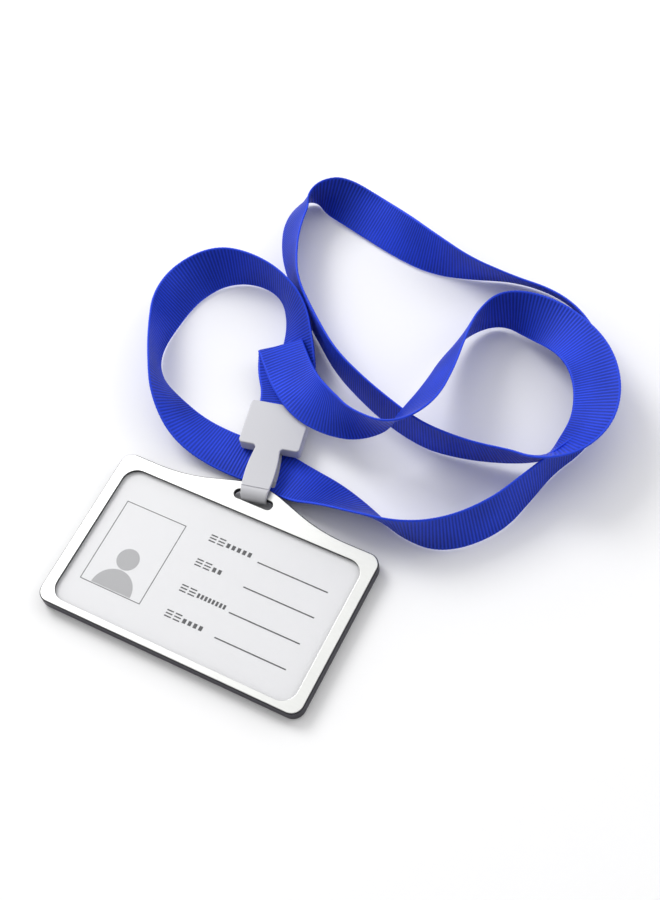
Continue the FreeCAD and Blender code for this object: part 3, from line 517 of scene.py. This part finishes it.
class BADGE_OT_card(bpy.types.Operator):
    """Print the card: a plain portrait place holder, four rules and four label blocks"""
    bl_idname = "badge.print_card"
    bl_label = "Print Card"

    def execute(self, context):
        look = context.scene.badge_card
        stock, _ = grained("card stock", look.stock, grain=0.0003, tint=0.02, rough=0.42,
                           spread=0.05, bump=0.000004)
        dress("card_insert", stock)
        grey, _ = grained("grey ink", look.grey_ink, grain=0.0002, tint=0.06, rough=0.5)
        outline, _ = grained("line ink", look.line_ink, grain=0.0002, tint=0.1, rough=0.5)
        dark, _ = grained("dark ink", look.dark_ink, grain=0.0002, tint=0.15, rough=0.5)
        level, thick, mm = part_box("card_insert")[1][2], look.ink_thick, 0.001
        x0, x1, y0, y1, line = -37.0 * mm, -15.2 * mm, -16.3 * mm, 12.95 * mm, 0.27 * mm
        frame_bars = [bar(x0, x1, y0, y0 + line), bar(x0, x1, y1 - line, y1),
                      bar(x0, x0 + line, y0 + line, y1 - line),
                      bar(x1 - line, x1, y0 + line, y1 - line)]
        figure = [disc(-26.2 * mm, -4.8 * mm, 3.7 * mm),
                  disc(-26.1 * mm, -15.8 * mm, 7.0 * mm, low=y0 + 0.5 * mm)]
        ink_piece("card_portrait_frame", frame_bars, level, thick, outline, "card")
        ink_piece("card_portrait_figure", figure, level, thick, grey, "card")
        half = look.rule_thick / 2
        rules = [bar(11.1 * mm, 35.5 * mm, y * mm - half, y * mm + half)
                 for y in (11.25, 2.2, -7.0, -15.9)]
        ink_piece("card_rules", rules, level, thick, dark, "card")
        labels = []
        # Each label is two squares of three bars, then a row of small blocks: height, end, pitch.
        for y, end, pitch in ((12.6, 10.5, 1.9), (3.6, 4.7, 1.9), (-5.9, 10.5, 1.3),
                              (-15.0, 7.8, 1.9)):
            for x in (-6.5, -3.5):
                labels += [bar(x * mm, (x + 2.3) * mm, (y + k - 0.21) * mm, (y + k + 0.21) * mm)
                           for k in (-1.0, 0.0, 1.0)]
            x = -0.4
            while x + pitch <= end:
                labels.append(bar(x * mm, (x + 0.6 * pitch) * mm, (y - 1.0) * mm, (y + 0.55) * mm))
                x += pitch
        ink_piece("card_labels", labels, level, thick, dark, "card")
        return {"FINISHED"}


# ------------------------------------------------------------------ holder and clip
class BADGE_OT_holder(bpy.types.Operator):
    """Finish the tray, the bonding film, the brushed plate and the clear window sheet, with
    painted shade on the window walls
    """
    bl_idname = "badge.finish_holder"
    bl_label = "Finish Holder"

    def execute(self, context):
        look = context.scene.badge_holder
        tray, shader = grained("moulded tray", look.tray, grain=0.00035, tint=0.25, rough=0.38,
                               spread=0.10, bump=0.00001)
        shader.inputs["Specular IOR Level"].default_value = 0.3
        dress("case_body", tray)
        # Partly painted shade: the film's near-black also stands in for the shade on the window
        # walls.
        film, _ = grained("bonding film", look.film, grain=0.0005, tint=0.2, rough=0.6)
        dress("bond_film", film)
        plate, _ = grained("brushed plate", look.plate, grain=0.00016, tint=0.10, rough=0.34,
                           spread=0.10, bump=0.000004, stretch=(0.05, 1.0, 1.0), metallic=0.85)
        # Painted shade on the plate's window walls.
        walls(plate, look.wall_shade, "front_plate")
        dress("front_plate", plate)
        clear, nodes, links, shader = new_material("clear sheet")
        haze = nodes.new("ShaderNodeTexNoise")
        haze.inputs["Scale"].default_value = 60.0
        spread_haze = nodes.new("ShaderNodeMapRange")
        spread_haze.inputs["To Min"].default_value = 0.04
        spread_haze.inputs["To Max"].default_value = 0.09
        links.new(haze.outputs["Fac"], spread_haze.inputs["Value"])
        links.new(spread_haze.outputs["Result"], shader.inputs["Roughness"])
        shader.inputs["Base Color"].default_value = (0.95, 0.96, 0.98, 1.0)
        shader.inputs["Alpha"].default_value = look.clear
        dress("window_sheet", clear)
        return {"FINISHED"}


class BADGE_OT_clip(bpy.types.Operator):
    """Finish the moulded clip"""
    bl_idname = "badge.finish_clip"
    bl_label = "Finish Clip"

    def execute(self, context):
        look = context.scene.badge_holder
        for node in ("clip_front", "clip_back"):
            shell, _ = grained("moulded " + node.replace("_", " "), look.clip, grain=0.0003,
                               tint=0.04, rough=0.36, spread=0.08, bump=0.000006)
            dress(node, shell)
        return {"FINISHED"}


# ------------------------------------------------------------------ stage
CAMERA_ANGLES = (37.271, 60.087, -11.616)  # turn about Z, height and roll, degrees
CAMERA_AIM = (0.0137, 0.0553, 0.0037)
LENS_MM, SENSOR_MM = 59.16, 36.0
LIGHT_AIM = (0.0, 0.05, 0.0)
OPEN_SIDE = (0.566, -0.750, 0.342)  # way to the side where the even light is weakest
FLOOR_HALF, FLOOR_DROP = 3.0, 0.0002  # metres


def soft_light(name, spot, aim, size, power, colour=(1.0, 1.0, 1.0)):
    """A rectangular light at a spot, turned to aim at a point."""
    lamp = bpy.data.lights.new(name, "AREA")
    lamp.shape = "RECTANGLE"
    lamp.size, lamp.size_y = size
    lamp.energy = power
    lamp.color = colour
    holder = bpy.data.objects.new(name, lamp)
    holder.location = spot
    holder.rotation_euler = (Vector(aim) - Vector(spot)).to_track_quat("-Z", "Y").to_euler()
    bpy.context.scene.collection.objects.link(holder)
    return holder


class BADGE_OT_stage(bpy.types.Operator):
    """Lay the pale floor and set the soft lights and the camera"""
    bl_idname = "badge.set_stage"
    bl_label = "Set Stage"

    def execute(self, context):
        look = context.scene.badge_stage
        scene = context.scene
        floor_material, _ = grained("pale floor", look.floor, grain=0.002, tint=0.01, rough=0.6,
                                    spread=0.03, bump=0.000002)
        mesh = bpy.data.meshes.new("studio_floor")
        corners = [(x * FLOOR_HALF, y * FLOOR_HALF, -FLOOR_DROP)
                   for x, y in ((-1, -1), (1, -1), (1, 1), (-1, 1))]
        mesh.from_pydata(corners, [], [(0, 1, 2, 3)])
        mesh.materials.append(floor_material)
        floor = bpy.data.objects.new("studio_floor", mesh)
        scene.collection.objects.link(floor)
        world = bpy.data.worlds.new("studio")
        world.use_nodes = True
        sky = world.node_tree.nodes["Background"]
        sky.inputs["Color"].default_value = (1.0, 1.0, 1.0, 1.0)
        # The even light falls off towards one low side, as in a studio that is open there.
        tree = world.node_tree
        way = tree.nodes.new("ShaderNodeTexCoord")
        toward = tree.nodes.new("ShaderNodeVectorMath")
        toward.operation = "DOT_PRODUCT"
        toward.inputs[1].default_value = OPEN_SIDE
        tree.links.new(way.outputs["Generated"], toward.inputs[0])
        fall = tree.nodes.new("ShaderNodeMapRange")
        fall.inputs["From Min"].default_value = 0.0
        fall.inputs["From Max"].default_value = 0.9
        fall.inputs["To Min"].default_value = look.sky
        fall.inputs["To Max"].default_value = look.sky * look.open_side
        tree.links.new(toward.outputs["Value"], fall.inputs["Value"])
        tree.links.new(fall.outputs["Result"], sky.inputs["Strength"])
        scene.world = world
        scene.view_settings.view_transform = "Standard"
        soft_light("key_light", (-0.70, 0.35, 0.70), LIGHT_AIM, (0.45, 0.45), look.key)
        soft_light("fill_light", (0.55, 0.60, 0.55), LIGHT_AIM, (0.6, 0.6), look.fill)
        azimuth, height, roll = (math.radians(angle) for angle in CAMERA_ANGLES)
        back = Vector((math.sin(azimuth) * math.cos(height), -math.cos(azimuth) * math.cos(height),
                       math.sin(height)))
        right = Vector((math.cos(azimuth), math.sin(azimuth), 0.0))
        up = back.cross(right)
        side = right * math.cos(roll) + up * math.sin(roll)
        top = up * math.cos(roll) - right * math.sin(roll)
        lens = bpy.data.cameras.new("camera")
        lens.sensor_width = SENSOR_MM
        lens.lens = LENS_MM
        lens.clip_start = 0.01
        camera = bpy.data.objects.new("camera", lens)
        spot = Vector(CAMERA_AIM) + back * look.distance
        turn = Matrix((side, top, back)).transposed().to_4x4()
        camera.matrix_world = Matrix.Translation(spot) @ turn
        scene.collection.objects.link(camera)
        scene.camera = camera
        return {"FINISHED"}


class BADGE_PT_panel(bpy.types.Panel):
    """Badge holder tools"""
    bl_idname = "BADGE_PT_panel"
    bl_label = "Badge Holder"
    bl_space_type = "VIEW_3D"
    bl_region_type = "UI"
    bl_category = "Badge"

    def draw(self, context):
        for label, group, operator in STEPS:
            box = self.layout.box()
            box.label(text=label)
            settings = getattr(context.scene, group)
            for prop in settings.__annotations__:
                box.prop(settings, prop)
            box.operator(operator)


STEPS = [
    ("Stage", "badge_stage", "badge.set_stage"),
    ("Ribbon", "badge_ribbon", "badge.lay_ribbon"),
    ("Card", "badge_card", "badge.print_card"),
    ("Holder", "badge_holder", "badge.finish_holder"),
    ("Clip", "badge_holder", "badge.finish_clip"),
]
SETTINGS = [
    ("badge_ribbon", BadgeRibbonSettings),
    ("badge_holder", BadgeHolderSettings),
    ("badge_card", BadgeCardSettings),
    ("badge_stage", BadgeStageSettings),
]
TOOLS = [BADGE_OT_stage, BADGE_OT_ribbon, BADGE_OT_card, BADGE_OT_holder, BADGE_OT_clip,
         BADGE_PT_panel]


def register():
    for name, settings in SETTINGS:
        bpy.utils.register_class(settings)
        setattr(bpy.types.Scene, name, PointerProperty(type=settings))
    for tool in TOOLS:
        bpy.utils.register_class(tool)


def unregister():
    for tool in reversed(TOOLS):
        bpy.utils.unregister_class(tool)
    for name, settings in reversed(SETTINGS):
        delattr(bpy.types.Scene, name)
        bpy.utils.unregister_class(settings)


def main():
    register()
    bpy.ops.badge.set_stage()
    bpy.ops.badge.lay_ribbon()
    bpy.ops.badge.print_card()
    bpy.ops.badge.finish_holder()
    bpy.ops.badge.finish_clip()


if __name__ == "__main__":
    main()
